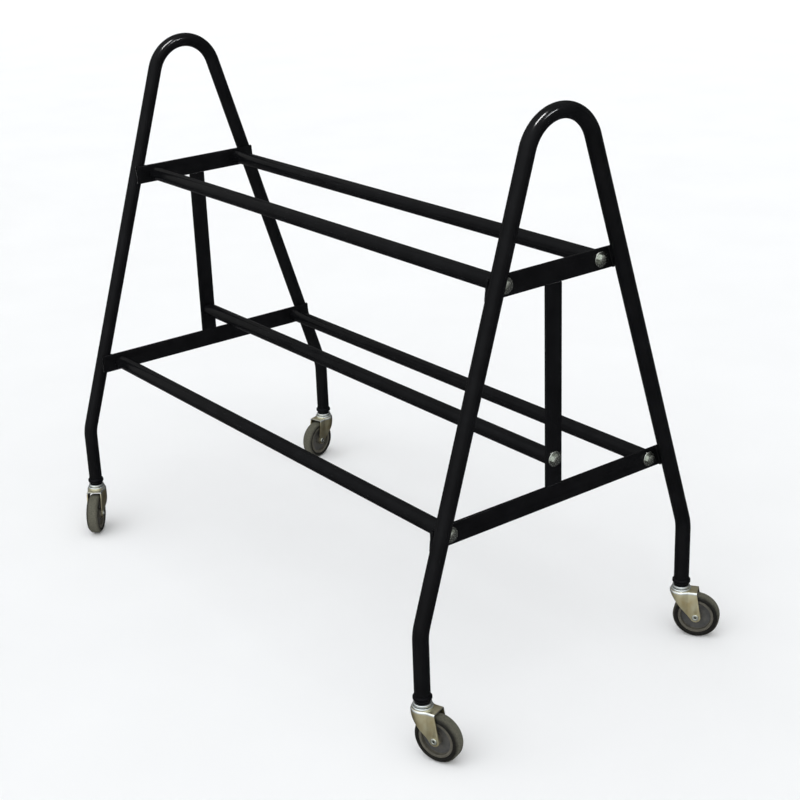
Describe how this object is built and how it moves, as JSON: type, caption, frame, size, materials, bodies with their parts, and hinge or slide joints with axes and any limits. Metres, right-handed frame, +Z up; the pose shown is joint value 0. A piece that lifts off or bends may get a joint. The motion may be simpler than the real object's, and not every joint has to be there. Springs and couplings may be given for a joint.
{
  "type": "ball cart",
  "caption": "Rolling rack for sports balls: arched tube end frames joined by long round rails in an upper and a lower tier, on swivel casters with rubber tyres.",
  "frame": {"origin": "on the floor, under the middle of the whole outline, with the casters swivelled as in the picture; the middle of the frame itself is at x = -22.6 mm, y = 2.0 mm", "axes": "+X along the rails, towards the end that is nearest in the picture; -Y towards the front, the side that the camera sees; +Z up"},
  "size_m": [1.1408, 0.659, 0.961],
  "materials": {
    "black_enamel": "gloss black enamel",
    "black_socket": "black moulded plastic",
    "zinc": "bright zinc plating",
    "plated_steel": "bright plated pressed steel",
    "grey_plastic": "dark grey moulded plastic",
    "grey_rubber": "dark grey rubber, satin"
  },
  "bodies": {
    "frame": {"bolt_lower_back_left": "zinc", "bolt_lower_back_right": "zinc", "bolt_lower_centre_left": "zinc", "bolt_lower_centre_right": "zinc", "bolt_lower_front_left": "zinc", "bolt_lower_front_right": "zinc", "bolt_upper_back_left": "zinc", "bolt_upper_back_right": "zinc", "bolt_upper_front_left": "zinc", "bolt_upper_front_right": "zinc", "hoop_left": "black_enamel", "hoop_right": "black_enamel", "lower_crossbar_left": "black_enamel", "lower_crossbar_right": "black_enamel", "post_left": "black_enamel", "post_right": "black_enamel", "race_cup_back_left": "plated_steel", "race_cup_back_right": "plated_steel", "race_cup_front_left": "plated_steel", "race_cup_front_right": "plated_steel", "rail_lower_back": "black_enamel", "rail_lower_centre": "black_enamel", "rail_lower_front": "black_enamel", "rail_upper_back": "black_enamel", "rail_upper_front": "black_enamel", "stem_back_left": "zinc", "stem_back_right": "zinc", "stem_front_left": "zinc", "stem_front_right": "zinc", "stem_socket_back_left": "black_socket", "stem_socket_back_right": "black_socket", "stem_socket_front_left": "black_socket", "stem_socket_front_right": "black_socket", "upper_crossbar_left": "black_enamel", "upper_crossbar_right": "black_enamel"},
    "swivel_front_right": {"fork_front_right": "plated_steel", "ball_ring_front_right": "zinc", "axle_front_right": "zinc", "bushing_front_right": "zinc"},
    "wheel_front_right": {"tyre_front_right": "grey_rubber", "wheel_core_front_right": "grey_plastic"},
    "swivel_back_right": {"fork_back_right": "plated_steel", "ball_ring_back_right": "zinc", "axle_back_right": "zinc", "bushing_back_right": "zinc"},
    "wheel_back_right": {"tyre_back_right": "grey_rubber", "wheel_core_back_right": "grey_plastic"},
    "swivel_front_left": {"fork_front_left": "plated_steel", "ball_ring_front_left": "zinc", "axle_front_left": "zinc", "bushing_front_left": "zinc"},
    "wheel_front_left": {"tyre_front_left": "grey_rubber", "wheel_core_front_left": "grey_plastic"},
    "swivel_back_left": {"fork_back_left": "plated_steel", "ball_ring_back_left": "zinc", "axle_back_left": "zinc", "bushing_back_left": "zinc"},
    "wheel_back_left": {"tyre_back_left": "grey_rubber", "wheel_core_back_left": "grey_plastic"}
  },
  "joints": [
    {"name": "swivel_front_right", "type": "hinge", "parent": "frame", "child": "swivel_front_right", "pos_m": [0.50636, -0.28044, 0.0886], "axis": [0, 0, 1], "continuous": true},
    {"name": "roll_front_right", "type": "hinge", "parent": "swivel_front_right", "child": "wheel_front_right", "pos_m": [0.53173, -0.2712, 0.039], "axis": [-0.342, 0.9397, 0], "continuous": true},
    {"name": "swivel_back_right", "type": "hinge", "parent": "frame", "child": "swivel_back_right", "pos_m": [0.50636, 0.28436, 0.0886], "axis": [0, 0, 1], "continuous": true},
    {"name": "roll_back_right", "type": "hinge", "parent": "swivel_back_right", "child": "wheel_back_right", "pos_m": [0.52848, 0.29985, 0.039], "axis": [-0.5736, 0.8192, 0], "continuous": true},
    {"name": "swivel_front_left", "type": "hinge", "parent": "frame", "child": "swivel_front_left", "pos_m": [-0.55164, -0.28044, 0.0886], "axis": [0, 0, 1], "continuous": true},
    {"name": "roll_front_left", "type": "hinge", "parent": "swivel_front_left", "child": "wheel_front_left", "pos_m": [-0.53095, -0.29779, 0.039], "axis": [0.6428, 0.766, 0], "continuous": true},
    {"name": "swivel_back_left", "type": "hinge", "parent": "frame", "child": "swivel_back_left", "pos_m": [-0.55164, 0.28436, 0.0886], "axis": [0, 0, 1], "continuous": true},
    {"name": "roll_back_left", "type": "hinge", "parent": "swivel_back_left", "child": "wheel_back_left", "pos_m": [-0.54419, 0.25841, 0.039], "axis": [0.9613, 0.2756, 0], "continuous": true}
  ]
}
